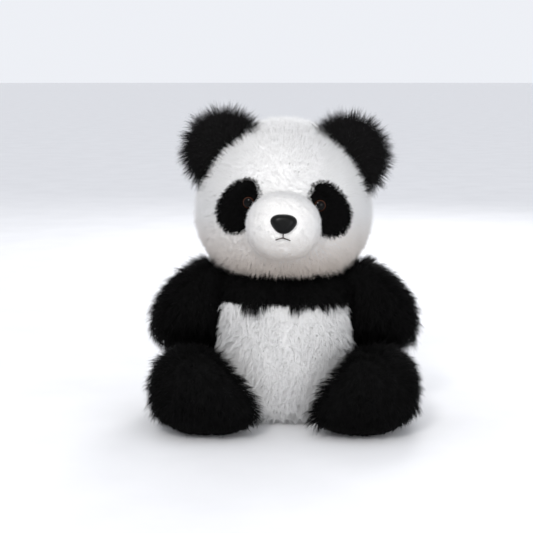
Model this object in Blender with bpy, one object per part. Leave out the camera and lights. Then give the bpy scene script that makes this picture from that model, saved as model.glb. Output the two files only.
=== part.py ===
"""Seated plush panda: fur-fabric skins over stuffing, safety eyes and nose, and plastic disc joints.

Metres, +Z up. The panda faces -Y and sits on z = 0. Left and right are its own, so its left is +X.
"""

from math import cos, pi, radians, sin

import bmesh
import bpy
import numpy as np
from mathutils import Matrix, Vector
from mathutils.bvhtree import BVHTree

MM = 0.001

# Fabric and fits
SKIN = 2.0 * MM              # fur fabric backing, with the pile pressed flat
FIT = 0.4 * MM               # gap between pieces that touch
PADDING_INSET = 4.5 * MM     # stuffing's surface, inside the skin's outer face

# Torso: height, half width, depth to the front, depth to the back
TORSO = (
    (0, 46, 44, 40), (2, 56, 55, 50), (8, 69, 68, 61), (20, 77, 77, 69), (45, 80, 83, 75),
    (75, 80, 83, 74), (105, 79, 79, 70), (130, 79, 72, 64), (149, 78, 64, 57), (159, 73, 55, 50),
    (164.5, 63, 46, 42), (166.5, 50, 36, 34),
)
TORSO_POWER = 2.35           # an oval's power: 2 is an ellipse, and more squares its corners
TORSO_SIDE = 72 * MM         # the flat sides that the limbs turn against
YOKE_SEAM = 138 * MM         # black shoulders above, white body below
PELLET_POWER = 2.2
PELLET_BAG = ((5, 40, 38), (7, 48, 46), (16, 53, 51), (27, 50, 48), (33, 38, 36), (34.5, 20, 18))
PELLET_WELL = ((-10, 56), (6, 56), (20, 59), (30, 56), (35.5, 40))      # height, half width
NECK_HOLE = 20 * MM          # how far the neck's cutters reach up and down
BIG = 400 * MM               # larger than the toy

# Head: height, half width; its depth follows from the width
HEAD = (
    (169, 26), (170.5, 42), (174, 56), (182, 70), (193, 81), (207, 89), (223, 93), (240, 93.5),
    (257, 91.5), (274, 86), (291, 77), (307, 64), (320, 48.5), (329, 32), (334.5, 14), (335.5, 2),
)
HEAD_FRONT = 0.94            # depth forward, as a share of the half width
HEAD_BACK = 0.88
HEAD_POWER = 2.1
HEAD_TILT = radians(2.4)     # the head leans a little to its left
NECK_AS_DRAWN = Vector((0, 0, 168)) * MM     # the neck joint, as the head is drawn
NECK = Vector((-3.9, 0, 168)) * MM           # the same point on the torso

# Muzzle: distance forward of the ear line, half width, half height
MUZZLE_CENTRE = 229 * MM
MUZZLE = (
    (60, 33, 31), (74, 34.5, 33), (87, 36.5, 34.5), (98, 38.5, 34.5), (109, 34.5, 31), (118, 24.5, 22),
    (123, 12, 11), (124, 3, 3),
)
MUZZLE_POWER = 2.15

# Face
EYE_AT = (38.8 * MM, 252 * MM)
EYE_RADIUS = 7 * MM
PATCH_CENTRE = (48.5 * MM, 247.5 * MM)
PATCH_HALF = (31 * MM, 20.5 * MM)
PATCH_SLANT = radians(-64)
PATCH_EGG = 0.16             # how much broader the low end is
PATCH_REACH = (-150 * MM, -20 * MM)          # from front to back, where the panels are cut
NOSE_AT = 235.8 * MM
NOSE_HALF = (14 * MM, 10.5 * MM)
NOSE_DEPTH = 8 * MM
FACE_SINK = 0.8 * MM         # how deep the eyes and the nose press into the skin
MOUTH_DROP = 5 * MM
MOUTH_HALF = 8 * MM
MOUTH_FALL = 2.6 * MM        # how far its ends hang below the fork
THREAD = 0.9 * MM
THREAD_SIDES = 8

# The eyes' and the nose's stems and washers
EYE_DIRECTION = (0.16, -1, 0.02)
EYE_DOME = 4 * MM
EYE_RIM = 0.6 * MM
EYE_STEM = (1.8 * MM, 12 * MM)
EYE_WASHER = (6 * MM, 1.4 * MM, 4.6 * MM)    # radius, thickness, depth under the surface
EYE_POCKET = (7.5 * MM, 14 * MM)             # radius and depth in the stuffing
NOSE_RISE = 0.16
NOSE_CORNERS = 0.13          # how far it is from an oval towards a triangle
NOSE_STEM = (2 * MM, 13 * MM)
NOSE_WASHER = (7 * MM, 1.4 * MM, 5.4 * MM)
NOSE_POCKET = (8.5 * MM, 15 * MM)
FACE_STEM_PLAY = 0.5 * MM

# Ears: padded round discs sewn across the head's curve, so that a little over half of each shows
EAR_ANGLE = radians(36)      # above the horizontal, round the middle of the head
EAR_OUT = 86 * MM
EAR_BACK = -17 * MM
EAR_RADIUS = 42 * MM
EAR_THICK = 10.5 * MM        # half the thickness at the middle
HEAD_MIDDLE = 252 * MM

# Arm: height, outer reach, half depth
ARM = (
    (84, 98, 121, 9), (86, 85, 134, 18), (91.5, 70, 144.5, 28), (104, 66, 148, 37), (120, 66, 145, 38.5),
    (136, 66, 138, 36), (150, 66, 127, 32), (162, 67, 113, 26.5), (171, 70, 99, 18), (174.5, 76, 88, 8),
)
ARM_POWER = 2.3
ARM_MIDDLE = -6 * MM
LIMB_FACE = 74 * MM          # flat inner face of arm and thigh
SHOULDER = Vector((LIMB_FACE, -4 * MM, 130 * MM))

# Leg: distance behind the hip line, inner and outer reach, underside and top
LEG = (
    (25, 98, 114, 35, 46), (23, 88, 124, 22, 54.5), (16.5, 76, 133, 8, 63), (6, 66, 140, 2, 71),
    (-15, 64, 141.5, 0.8, 75.5), (-40, 64, 142, 0.8, 77.5), (-62, 64, 142, 0.8, 82), (-80, 64, 142, 0.8, 86),
    (-90, 58, 142, 0.8, 88), (-100, 46, 142, 0.8, 89), (-111, 35, 140, 1.2, 88.5), (-123, 33, 135, 4, 85),
    (-133, 40, 126, 12, 77), (-139.5, 55, 110, 25, 62), (-142, 74, 92, 39, 49),
)
LEG_POWER = 2.4
THIGH_END = -84 * MM         # in front of this the foot turns inwards
FOOT_TURN = 1.5              # sideways for each step forward
FOOT_BLEND = 12 * MM         # over this run the thigh's section becomes the foot's
FOOT_LEAN = 0.6              # the foot's inner side slopes outwards, going up
FOOT_WIDEST = 28 * MM        # the height at which it doesn't move
HIP = Vector((LIMB_FACE, -10 * MM, 44 * MM))

# Tail
TAIL_AT = Vector((0, 74, 30)) * MM
TAIL_HALF = Vector((19, 20, 18)) * MM

# Disc joints: radius of the disc, of the stem, of the washers
NECK_JOINT = (20 * MM, 4.5 * MM, 15 * MM)
SHOULDER_JOINT = (13 * MM, 3.5 * MM, 11.5 * MM)
HIP_JOINT = (14.5 * MM, 4 * MM, 14.5 * MM)
DISC_THICK = 2.5 * MM
WASHER_THICK = 1.6 * MM
LOCK_THICK = 2.6 * MM
STEM_TAIL = 2.5 * MM
STEM_PLAY = 0.4 * MM
LIMB_HOLE = 6 * MM           # how far a limb's stem hole is cut in and out
STEM_HOLE = 1 * MM           # by how much a hole in the fabric is wider than the stem, all round
POCKET_PLAY = 1 * MM         # the same for the stuffing round a disc or washer
POCKET_INNER = 58 * MM       # how near the middle the stuffing's side pockets reach
POCKET_OUTER = 80 * MM
NECK_PLAY = 0.8 * MM         # room for the tilted washer
DISC_LIFT = 0.8 * MM         # play between a disc and the skin that it holds

# Mesh finenesses: rings along a form, points round it
TORSO_MESH = (13, 18)
HEAD_MESH = (13, 20)
MUZZLE_MESH = (9, 14)
EAR_MESH = (18, 8)            # round the disc's edge, across it
ARM_MESH = (10, 14)
LEG_MESH = (14, 14)
ROUND = 12                   # points round a turned piece


def clear_scene():
    for old in list(bpy.data.objects):
        bpy.data.objects.remove(old, do_unlink=True)


def principled(name, colour, roughness, sheen=0.0):
    material = bpy.data.materials.new(name)
    material.use_nodes = True
    shader = material.node_tree.nodes["Principled BSDF"]
    shader.inputs["Base Color"].default_value = (*colour, 1.0)
    shader.inputs["Roughness"].default_value = roughness
    shader.inputs["Metallic"].default_value = 0.0
    shader.inputs["Sheen Weight"].default_value = sheen
    return material


def smooth_rows(rows, count):
    """`count` rows on the smooth run through the given ones, evenly spaced along it, in metres."""
    rows = np.array(rows, float) * MM
    steps = np.linalg.norm(np.diff(rows, axis=0), axis=1)
    along = np.concatenate([[0.0], np.cumsum(steps)])
    slopes = np.gradient(rows, along, axis=0)
    at = np.linspace(0.0, along[-1], count)
    first = np.clip(np.searchsorted(along, at, side="right") - 1, 0, len(rows) - 2)
    step = (along[first + 1] - along[first])[:, None]
    t = (at - along[first])[:, None] / step
    return (
        (1 + 2 * t) * (1 - t) ** 2 * rows[first]
        + t * (1 - t) ** 2 * step * slopes[first]
        + t * t * (3 - 2 * t) * rows[first + 1]
        + t * t * (t - 1) * step * slopes[first + 1]
    )


def oval(u_range, v_range, segments, power):
    """Points round an oval that fills the two ranges; a power over 2 squares its corners."""
    angle = np.arange(segments) * 2 * pi / segments
    c, s = np.cos(angle), np.sin(angle)
    u = np.sign(c) * np.abs(c) ** (2 / power)
    v = np.sign(s) * np.abs(s) ** (2 / power)
    middle = (sum(u_range) / 2, sum(v_range) / 2)
    half = ((u_range[1] - u_range[0]) / 2, (v_range[1] - v_range[0]) / 2)
    return middle[0] + half[0] * u, middle[1] + half[1] * v


def lofted(rings):
    """A bmesh through rings of points, its two ends closed by fans."""
    form = bmesh.new()
    rows = [[form.verts.new(point) for point in ring] for ring in rings]
    count = len(rows[0])
    for low, high in zip(rows, rows[1:]):
        for i in range(count):
            j = (i + 1) % count
            form.faces.new((low[i], low[j], high[j], high[i]))
    for row in (rows[0], rows[-1]):
        middle = sum((v.co for v in row), Vector()) / count
        pole = form.verts.new(middle)
        for i in range(count):
            form.faces.new((row[i], row[(i + 1) % count], pole))
    bmesh.ops.recalc_face_normals(form, faces=form.faces)
    return form


def turned(profile, segments, closed=False):
    """A bmesh of revolution about Z from (radius, height) points; closed for a ring with a hole."""
    form = bmesh.new()
    rows = []
    for radius, height in profile:
        if radius == 0:
            rows.append([form.verts.new((0, 0, height))] * segments)
            continue
        turn = [2 * pi * i / segments for i in range(segments)]
        rows.append([form.verts.new((radius * cos(a), radius * sin(a), height)) for a in turn])
    pairs = list(zip(rows, rows[1:]))
    if closed:
        pairs.append((rows[-1], rows[0]))
    for low, high in pairs:
        for i in range(segments):
            j = (i + 1) % segments
            corners = list(dict.fromkeys((low[i], low[j], high[j], high[i])))
            if len(corners) > 2:
                form.faces.new(corners)
    bmesh.ops.recalc_face_normals(form, faces=form.faces)
    return form


def prism(outline, near, far):
    """A bmesh whose (x, z) outline runs from y = near to y = far."""
    form = bmesh.new()
    front = [form.verts.new((x, near, z)) for x, z in outline]
    back = [form.verts.new((x, far, z)) for x, z in outline]
    count = len(outline)
    for i in range(count):
        j = (i + 1) % count
        form.faces.new((front[i], front[j], back[j], back[i]))
    form.faces.new(front)
    form.faces.new(back)
    bmesh.ops.recalc_face_normals(form, faces=form.faces)
    return form


def box(low, high):
    """A bmesh box between two corners."""
    form = bmesh.new()
    low, high = Vector(low), Vector(high)
    place = Matrix.Translation((low + high) / 2) @ Matrix.Diagonal((*(high - low), 1.0))
    bmesh.ops.create_cube(form, size=1.0, matrix=place)
    return form


def ellipsoid(centre, half, segments, rings):
    """A bmesh ellipsoid with its poles along Y."""
    form = bmesh.new()
    place = Matrix.Translation(centre) @ Matrix.Diagonal((*half, 1.0)) @ Matrix.Rotation(pi / 2, 4, "X")
    bmesh.ops.create_uvsphere(form, u_segments=segments, v_segments=rings, radius=1.0, matrix=place)
    return form


def grown(form, distance):
    """The form with its surface moved out, or in for a negative distance."""
    form.normal_update()
    moved = [(v, v.co + v.normal * distance) for v in form.verts]
    for vertex, place in moved:
        vertex.co = place
    return form


def mirrored(form):
    bmesh.ops.scale(form, vec=(-1, 1, 1), verts=form.verts)
    bmesh.ops.reverse_faces(form, faces=form.faces)
    return form


def pivot(name, place, drawn_at=None, tilt=0.0):
    """An empty on a joint, about which its pieces turn; `drawn_at` is where their drawing has the joint."""
    empty = bpy.data.objects.new(name, None)
    empty.location = place
    empty["drawn_at"] = drawn_at or place
    empty.rotation_euler = (0, tilt, 0)
    bpy.context.scene.collection.objects.link(empty)
    return empty


def piece(name, form, material, parent=None):
    """An object from a bmesh, with its origin on its parent's joint."""
    if parent:
        bmesh.ops.translate(form, vec=-Vector(parent["drawn_at"]), verts=form.verts)
    mesh = bpy.data.meshes.new(name)
    form.to_mesh(mesh)
    form.free()
    mesh.shade_smooth()
    mesh.set_sharp_from_angle(angle=radians(50))
    made = bpy.data.objects.new(name, mesh)
    made.parent = parent
    if material:
        made.data.materials.append(material)
    bpy.context.scene.collection.objects.link(made)
    return made


def guide(name, form, parent=None):
    """A cutter: it shapes other pieces and isn't one itself."""
    made = piece(name, form, None, parent)
    made.hide_render = True
    made.display_type = "WIRE"
    return made


def cut(target, cutter, operation="DIFFERENCE"):
    change = target.modifiers.new(cutter.name, "BOOLEAN")
    change.operation = operation
    change.object = cutter
    change.solver = "EXACT"


def hollow(target):
    """Turns a solid form into a fabric skin."""
    wall = target.modifiers.new("skin", "SOLIDIFY")
    wall.thickness = SKIN
    wall.offset = -1.0
    wall.use_even_offset = True


def rod(radius, start, end, segments=ROUND):
    """A bmesh cylinder between two points."""
    start, end = Vector(start), Vector(end)
    form = turned(((0, 0), (radius, 0), (radius, (end - start).length), (0, (end - start).length)), segments)
    turn = (end - start).to_track_quat("Z", "Y").to_matrix().to_4x4()
    bmesh.ops.transform(form, matrix=Matrix.Translation(start) @ turn, verts=form.verts)
    return form


def torso_form(rings, segments):
    points = []
    for z, width, front, back in smooth_rows(TORSO, rings):
        x, y = oval((-width, width), (-front, back), segments, TORSO_POWER)
        points.append([(a, b, z) for a, b in zip(np.clip(x, -TORSO_SIDE, TORSO_SIDE), y)])
    return lofted(points)


def head_form(rings, segments):
    points = []
    for z, width in smooth_rows(HEAD, rings):
        x, y = oval((-width, width), (-width * HEAD_FRONT, width * HEAD_BACK), segments, HEAD_POWER)
        points.append([(a, b, z) for a, b in zip(x, y)])
    return lofted(points)


def arm_form(rings, segments):
    points = []
    for z, inner, outer, depth in smooth_rows(ARM, rings):
        x, y = oval((inner, outer), (ARM_MIDDLE - depth, ARM_MIDDLE + depth), segments, ARM_POWER)
        points.append([(a, b, z) for a, b in zip(np.maximum(x, LIMB_FACE), y)])
    return lofted(points)


def leg_form(rings, segments):
    """Thigh and foot in one; the foot turns inwards in front of the body."""
    points = []
    for y, inner, outer, low, top in smooth_rows(LEG, rings):
        x, z = oval((inner, outer), (low, top), segments, LEG_POWER)
        inward = np.clip((inner + outer - 2 * x) / (outer - inner), 0, 1)
        foot = np.clip((THIGH_END - y) / FOOT_BLEND, 0, 1)
        x = x + foot * FOOT_LEAN * inward * (z - FOOT_WIDEST)
        x = np.maximum(x, LIMB_FACE - max(THIGH_END - y, 0) * FOOT_TURN)
        points.append([(a, y, b) for a, b in zip(x, z)])
    return lofted(points)


def muzzle_form(rings, segments):
    points = []
    for forward, width, height in smooth_rows(MUZZLE, rings):
        x, z = oval((-width, width), (MUZZLE_CENTRE - height, MUZZLE_CENTRE + height), segments, MUZZLE_POWER)
        points.append([(a, -forward, b) for a, b in zip(x, z)])
    return lofted(points)


def pellet_form(rings, segments):
    points = []
    for z, width, depth in smooth_rows(PELLET_BAG, rings):
        x, y = oval((-width, width), (-depth, depth), segments, PELLET_POWER)
        points.append([(a, b, z) for a, b in zip(x, y)])
    return lofted(points)


def on_surface(form, x, z):
    """The point on a form's front at (x, z)."""
    return BVHTree.FromBMesh(form).ray_cast(Vector((x, -1, z)), Vector((0, 1, 0)))[0]


def slanted_oval(side, grow, count=20):
    """The eye patch's outline, an egg with its broad end low and outside."""
    outline = []
    for i in range(count):
        angle = 2 * pi * i / count
        along = (PATCH_HALF[0] + grow) * cos(angle)
        across = (PATCH_HALF[1] + grow) * sin(angle) * (1 + PATCH_EGG * cos(angle))
        x = PATCH_CENTRE[0] + along * cos(PATCH_SLANT) - across * sin(PATCH_SLANT)
        z = PATCH_CENTRE[1] + along * sin(PATCH_SLANT) + across * cos(PATCH_SLANT)
        outline.append((side * x, z))
    return outline


def stood(form, place, direction):
    """The form turned so that its +Z points along the direction, and moved to the place."""
    turn = Vector(direction).to_track_quat("Z", "Y").to_matrix().to_4x4()
    bmesh.ops.transform(form, matrix=Matrix.Translation(place) @ turn, verts=form.verts)
    return form


def disc_with_stem(disc, stem, length):
    """A joint disc lying at z = 0, its stem running down."""
    edge = 0.6 * MM
    return turned((
        (0, DISC_THICK), (disc - edge, DISC_THICK), (disc, DISC_THICK - edge), (disc, edge),
        (disc - edge, 0), (stem, 0), (stem, -length + edge), (stem - edge, -length), (0, -length),
    ), ROUND)


def washer(hole, rim, thick):
    edge = 0.4 * MM
    return turned((
        (hole, 0), (rim - edge, 0), (rim, edge), (rim, thick - edge), (rim - edge, thick), (hole, thick),
    ), ROUND, closed=True)


def lock_washer(hole, rim):
    """A dished washer with a short collar that grips the stem."""
    return turned((
        (hole, 0), (rim * 0.7, 0.5 * MM), (rim * 0.7, 1.5 * MM), (hole + 1.4 * MM, 1.3 * MM),
        (hole + 1.4 * MM, LOCK_THICK), (hole, LOCK_THICK),
    ), ROUND, closed=True)


def disc_joint(name, place, outward, sizes, depth, moving, plastic):
    """Disc inside the moving skin, two washers inside the torso; `depth` is disc to torso's inside."""
    disc, stem, rim = sizes
    hole = stem + STEM_PLAY
    outward = Vector(outward)
    length = depth + FIT + WASHER_THICK + FIT + LOCK_THICK + STEM_TAIL
    piece(f"{name}_disc", stood(disc_with_stem(disc, stem, length), place, outward), plastic, moving)
    under = place - outward * (depth + FIT)
    piece(f"{name}_washer", stood(washer(hole, rim, WASHER_THICK), under, -outward), plastic, moving)
    under = under - outward * (WASHER_THICK + FIT)
    piece(f"{name}_lock_washer", stood(lock_washer(hole, rim), under, -outward), plastic, moving)


def half_space(low, high):
    """A box wider than the toy, between two heights."""
    return box((-BIG, -BIG, low), (BIG, BIG, high))


def make_torso(fur_black, fur_white, stuffing, pellets):
    yoke_side = guide("yoke_side_guide", half_space(YOKE_SEAM + FIT / 2, BIG))
    body_side = guide("body_side_guide", half_space(-BIG, YOKE_SEAM - FIT / 2))
    yoke = piece("shoulder_skin", torso_form(*TORSO_MESH), fur_black)
    body = piece("body_skin", torso_form(*TORSO_MESH), fur_white)
    filling = piece("body_stuffing", grown(torso_form(*TORSO_MESH), -PADDING_INSET), stuffing)
    for part, side in ((yoke, yoke_side), (body, body_side)):
        hollow(part)
        cut(part, side, "INTERSECT")
    low, high = NECK - Vector((0, 0, NECK_HOLE)), NECK + Vector((0, 0, NECK_HOLE))
    cut(yoke, guide("neck_hole_guide", rod(NECK_JOINT[1] + STEM_HOLE, low, high)))
    cut(filling, guide("neck_pocket_guide", rod(NECK_JOINT[2] + POCKET_PLAY, low, high)))
    for side in (1, -1):
        for centre, sizes, skins in ((SHOULDER, SHOULDER_JOINT, (yoke, body)), (HIP, HIP_JOINT, (body,))):
            inner = Vector((side * POCKET_INNER, centre.y, centre.z))
            outer = Vector((side * POCKET_OUTER, centre.y, centre.z))
            hole = guide("stem_hole_guide", rod(sizes[1] + STEM_HOLE, inner, outer))
            for skin in skins:
                cut(skin, hole)
            cut(filling, guide("washer_pocket_guide", rod(sizes[2] + POCKET_PLAY, inner, outer)))
    cut(filling, guide("pellet_well_guide", well_form()))
    piece("pellet_bag", pellet_form(7, ROUND), pellets)


def well_form():
    """The hollow in the stuffing that the pellet bag lies in."""
    rings = []
    for z, spread in PELLET_WELL:
        x, y = oval((-spread, spread), (-spread, spread), ROUND, PELLET_POWER)
        rings.append([(a * MM, b * MM, z * MM) for a, b in zip(x, y)])
    return lofted(rings)


def make_tail(fur_white, stuffing):
    clear_of_body = guide("tail_seat_guide", grown(torso_form(*TORSO_MESH), FIT))
    skin = piece("tail_skin", ellipsoid(TAIL_AT, TAIL_HALF, 12, 8), fur_white)
    hollow(skin)
    cut(skin, clear_of_body)
    inner = TAIL_HALF - Vector((1, 1, 1)) * (SKIN + 1 * MM)
    cut(piece("tail_stuffing", ellipsoid(TAIL_AT, inner, 10, 6), stuffing), clear_of_body)


def make_head(neck, fur_black, fur_white, stuffing, plastic, thread):
    skin = piece("head_skin", head_form(*HEAD_MESH), fur_white, neck)
    hollow(skin)
    filling = piece("head_stuffing", grown(head_form(*HEAD_MESH), -PADDING_INSET), stuffing, neck)
    base = Vector((0, 0, HEAD[0][0] * MM))
    reach = Vector((0, 0, NECK_HOLE / 2))
    cut(skin, guide("head_hole_guide", rod(NECK_JOINT[1] + STEM_HOLE, base - reach, base + reach), neck))
    disc_top = base + Vector((0, 0, SKIN + DISC_LIFT + DISC_THICK + 2 * FIT))
    cut(filling, guide("disc_pocket_guide", rod(NECK_JOINT[0] + POCKET_PLAY, base - reach, disc_top), neck))
    surface = head_form(*HEAD_MESH)
    for side, word in ((1, "left"), (-1, "right")):
        patch = make_patch(word, neck, side, skin, fur_black)
        make_eye(word, neck, surface, side, patch, filling, plastic)
    surface.free()
    seat = guide("head_seat_guide", grown(head_form(*HEAD_MESH), FIT), neck)
    make_muzzle(neck, seat, fur_white, stuffing, plastic, thread)
    for side, word in ((1, "left"), (-1, "right")):
        make_ear(word, side, neck, seat, fur_black, stuffing)


def make_patch(word, neck, side, head_skin, fur_black):
    """A black panel set into the head's skin."""
    opening = prism(slanted_oval(side, FIT / 2), *PATCH_REACH)
    cut(head_skin, guide(f"{word}_patch_opening_guide", opening, neck))
    patch = piece(f"{word}_eye_patch", head_form(*HEAD_MESH), fur_black, neck)
    hollow(patch)
    panel = prism(slanted_oval(side, -FIT / 2), *PATCH_REACH)
    cut(patch, guide(f"{word}_patch_guide", panel, neck), "INTERSECT")
    return patch


def make_eye(word, neck, surface, side, patch, filling, plastic):
    """A domed safety eye on a stem, with its washer behind the patch."""
    place = on_surface(surface, side * EYE_AT[0], EYE_AT[1])
    outward = Vector((side * EYE_DIRECTION[0], *EYE_DIRECTION[1:])).normalized()
    stem, back = EYE_STEM
    dome = [(0, EYE_RIM + EYE_DOME)]
    for step in (20, 45, 68, 85):
        angle = radians(step)
        dome.append((EYE_RADIUS * sin(angle), EYE_RIM + EYE_DOME * cos(angle)))
    foot = [(EYE_RADIUS * 0.93, 0), (stem, 0), (stem, -back + stem / 4), (stem * 0.6, -back), (0, -back)]
    seat = place - outward * FACE_SINK
    piece(f"{word}_eye", stood(turned(dome + foot, ROUND), seat, outward), plastic, neck)
    eye_space = rod(EYE_RADIUS + FIT, seat - outward * FIT, seat + outward * 2 * EYE_DOME)
    cut(patch, guide(f"{word}_eye_seat_guide", eye_space, neck))
    rim, thick, under = EYE_WASHER
    hole = stem + FACE_STEM_PLAY
    ring = stood(washer(hole, rim, thick), place - outward * under, -outward)
    piece(f"{word}_eye_washer", ring, plastic, neck)
    reach = outward * back
    cut(patch, guide(f"{word}_eye_hole_guide", rod(hole, place + reach, place - reach), neck))
    pocket = rod(EYE_POCKET[0], place + reach, place - outward * EYE_POCKET[1])
    cut(filling, guide(f"{word}_eye_pocket_guide", pocket, neck))


def make_muzzle(neck, seat, fur_white, stuffing, plastic, thread):
    skin = piece("muzzle_skin", muzzle_form(*MUZZLE_MESH), fur_white, neck)
    hollow(skin)
    cut(skin, seat)
    filling = piece("muzzle_stuffing", grown(muzzle_form(*MUZZLE_MESH), -PADDING_INSET), stuffing, neck)
    cut(filling, seat)
    surface = muzzle_form(*MUZZLE_MESH)
    place = on_surface(surface, 0, NOSE_AT)
    rise = Vector((0, -1, NOSE_RISE)).normalized()
    rest = place - rise * FACE_SINK
    piece("nose", nose_form(rest, rise), plastic, neck)
    cut(skin, guide("nose_seat_guide", grown(nose_form(rest, rise), FIT), neck))
    rim, thick, under = NOSE_WASHER
    hole = NOSE_STEM[0] + FACE_STEM_PLAY
    piece("nose_washer", stood(washer(hole, rim, thick), place - rise * under, -rise), plastic, neck)
    reach = rise * NOSE_STEM[1]
    cut(skin, guide("nose_hole_guide", rod(hole, place + reach, place - reach), neck))
    pocket = rod(NOSE_POCKET[0], place + reach, place - rise * NOSE_POCKET[1])
    cut(filling, guide("nose_pocket_guide", pocket, neck))
    make_mouth(surface, neck, thread)
    surface.free()


def nose_form(place, direction):
    """A domed, rounded triangle, point down, on a stem."""
    turn = [2 * pi * i / ROUND for i in range(ROUND)]
    rings = []
    for share, lift in ((0.2, 1.0), (0.55, 0.9), (0.8, 0.68), (0.95, 0.38), (1.0, 0.16), (0.93, 0.0)):
        ring = []
        for angle in turn:
            spread = share * (1 + NOSE_CORNERS * cos(3 * (angle + pi / 2)))
            across = NOSE_HALF[0] * spread * cos(angle)
            up = NOSE_HALF[1] * spread * sin(angle)
            ring.append((across, up, NOSE_DEPTH * lift))
        rings.append(ring)
    radius, back = NOSE_STEM
    for lift in (0.0, -back):
        rings.append([(radius * cos(a), radius * sin(a), lift) for a in turn])
    return stood(lofted(rings), place, direction)


def make_mouth(surface, neck, thread):
    """Embroidered mouth: a short drop under the nose that forks to both sides."""
    fork = NOSE_AT - NOSE_HALF[1] - MOUTH_DROP
    lift = Vector((0, -(THREAD + FIT), 0))
    drop = [(0, fork + MOUTH_DROP * share) for share in (0.75, 0.3, -0.12)]
    arms = []
    for i in range(9):
        t = i / 4 - 1
        arms.append((MOUTH_HALF * t, fork - MOUTH_FALL * abs(t) ** 1.3))
    strands = []
    for name, route in (("mouth", arms), ("mouth_drop_guide", drop)):
        points = [on_surface(surface, x, z) + lift for x, z in route]
        strands.append(piece(name, thread_form(points), thread, neck))
    strands[1].hide_render = True
    strands[1].display_type = "WIRE"
    cut(strands[0], strands[1], "UNION")


def thread_form(points):
    """A bmesh thread through the points."""
    rings = []
    for i, point in enumerate(points):
        before, after = points[max(i - 1, 0)], points[min(i + 1, len(points) - 1)]
        turn = (after - before).to_track_quat("Z", "Y")
        ring = []
        for j in range(THREAD_SIDES):
            angle = 2 * pi * j / THREAD_SIDES
            ring.append(point + turn @ Vector((THREAD * cos(angle), THREAD * sin(angle), 0)))
        rings.append(ring)
    return lofted(rings)


def make_ear(word, side, neck, seat, fur_black, stuffing):
    """An ear is a thin padded disc, cut where it meets the head."""
    centre = Vector((side * EAR_OUT * cos(EAR_ANGLE), EAR_BACK, HEAD_MIDDLE + EAR_OUT * sin(EAR_ANGLE)))
    half = Vector((EAR_RADIUS, EAR_THICK, EAR_RADIUS))
    skin = piece(f"{word}_ear_skin", ellipsoid(centre, half, *EAR_MESH), fur_black, neck)
    hollow(skin)
    inner = half - Vector((1, 1, 1)) * PADDING_INSET
    filling = piece(f"{word}_ear_stuffing", ellipsoid(centre, inner, *EAR_MESH), stuffing, neck)
    cut(skin, seat)
    cut(filling, seat)


def make_limb(word, name, side, form, filling_form, joint, fur_black, stuffing, plastic):
    """An arm or a leg with its disc joint on the torso's flat side."""
    centre, sizes, joint_name = joint
    if side < 0:
        form, filling_form = mirrored(form), mirrored(filling_form)
        centre = Vector((-centre.x, centre.y, centre.z))
    moving = pivot(f"{word}_{joint_name}_pivot", centre)
    outward = Vector((side, 0, 0))
    skin = piece(f"{word}_{name}_skin", form, fur_black, moving)
    hollow(skin)
    hole = rod(sizes[1] + STEM_HOLE, centre - outward * LIMB_HOLE, centre + outward * LIMB_HOLE)
    cut(skin, guide(f"{word}_{name}_hole_guide", hole, moving))
    filling = piece(f"{word}_{name}_stuffing", filling_form, stuffing, moving)
    space = SKIN + DISC_LIFT + DISC_THICK + FIT * 2
    pocket = rod(sizes[0] + POCKET_PLAY, centre, centre + outward * space)
    cut(filling, guide(f"{word}_{name}_pocket_guide", pocket, moving))
    inside = centre + outward * (SKIN + DISC_LIFT)
    depth = SKIN + DISC_LIFT + (LIMB_FACE - TORSO_SIDE) + SKIN
    disc_joint(f"{word}_{joint_name}", inside, outward, sizes, depth, moving, plastic)


def make_all():
    clear_scene()
    fur_black = principled("black fur", (0.012, 0.011, 0.012), 0.95, 0.4)
    fur_white = principled("white fur", (0.86, 0.85, 0.83), 0.95, 0.3)
    stuffing = principled("polyester stuffing", (0.9, 0.9, 0.88), 1.0)
    pellets = principled("pellet bag cloth", (0.75, 0.73, 0.68), 0.9)
    plastic = principled("black plastic", (0.01, 0.01, 0.01), 0.12)
    joint_plastic = principled("white joint plastic", (0.8, 0.8, 0.78), 0.45)
    thread = principled("brown thread", (0.06, 0.03, 0.02), 0.7)
    make_torso(fur_black, fur_white, stuffing, pellets)
    make_tail(fur_white, stuffing)
    neck = pivot("neck_pivot", NECK, NECK_AS_DRAWN, HEAD_TILT)
    make_head(neck, fur_black, fur_white, stuffing, plastic, thread)
    inside = Vector((0, 0, HEAD[0][0] * MM + SKIN + DISC_LIFT))
    depth = SKIN + DISC_LIFT + (HEAD[0][0] - TORSO[-1][0]) * MM + SKIN + NECK_PLAY
    disc_joint("neck", inside, (0, 0, 1), NECK_JOINT, depth, neck, joint_plastic)
    for side, word in ((1, "left"), (-1, "right")):
        arm, arm_filling = arm_form(*ARM_MESH), grown(arm_form(*ARM_MESH), -PADDING_INSET)
        shoulder = (SHOULDER, SHOULDER_JOINT, "shoulder")
        make_limb(word, "arm", side, arm, arm_filling, shoulder, fur_black, stuffing, joint_plastic)
        leg, leg_filling = leg_form(*LEG_MESH), grown(leg_form(*LEG_MESH), -PADDING_INSET)
        hip = (HIP, HIP_JOINT, "hip")
        make_limb(word, "leg", side, leg, leg_filling, hip, fur_black, stuffing, joint_plastic)


make_all()
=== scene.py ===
"""Looks of the seated plush panda: smooth stuffed skins, a strand-by-strand fur coat, and its face.

Metres, +Z up. The panda faces -Y and sits on z = 0. Left and right are its own, so its left is +X.
"""

from math import cos, pi, radians, sin

import bmesh
import bpy
import numpy as np
from mathutils import Matrix, Vector
from mathutils.bvhtree import BVHTree
from mathutils.kdtree import KDTree


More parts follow.
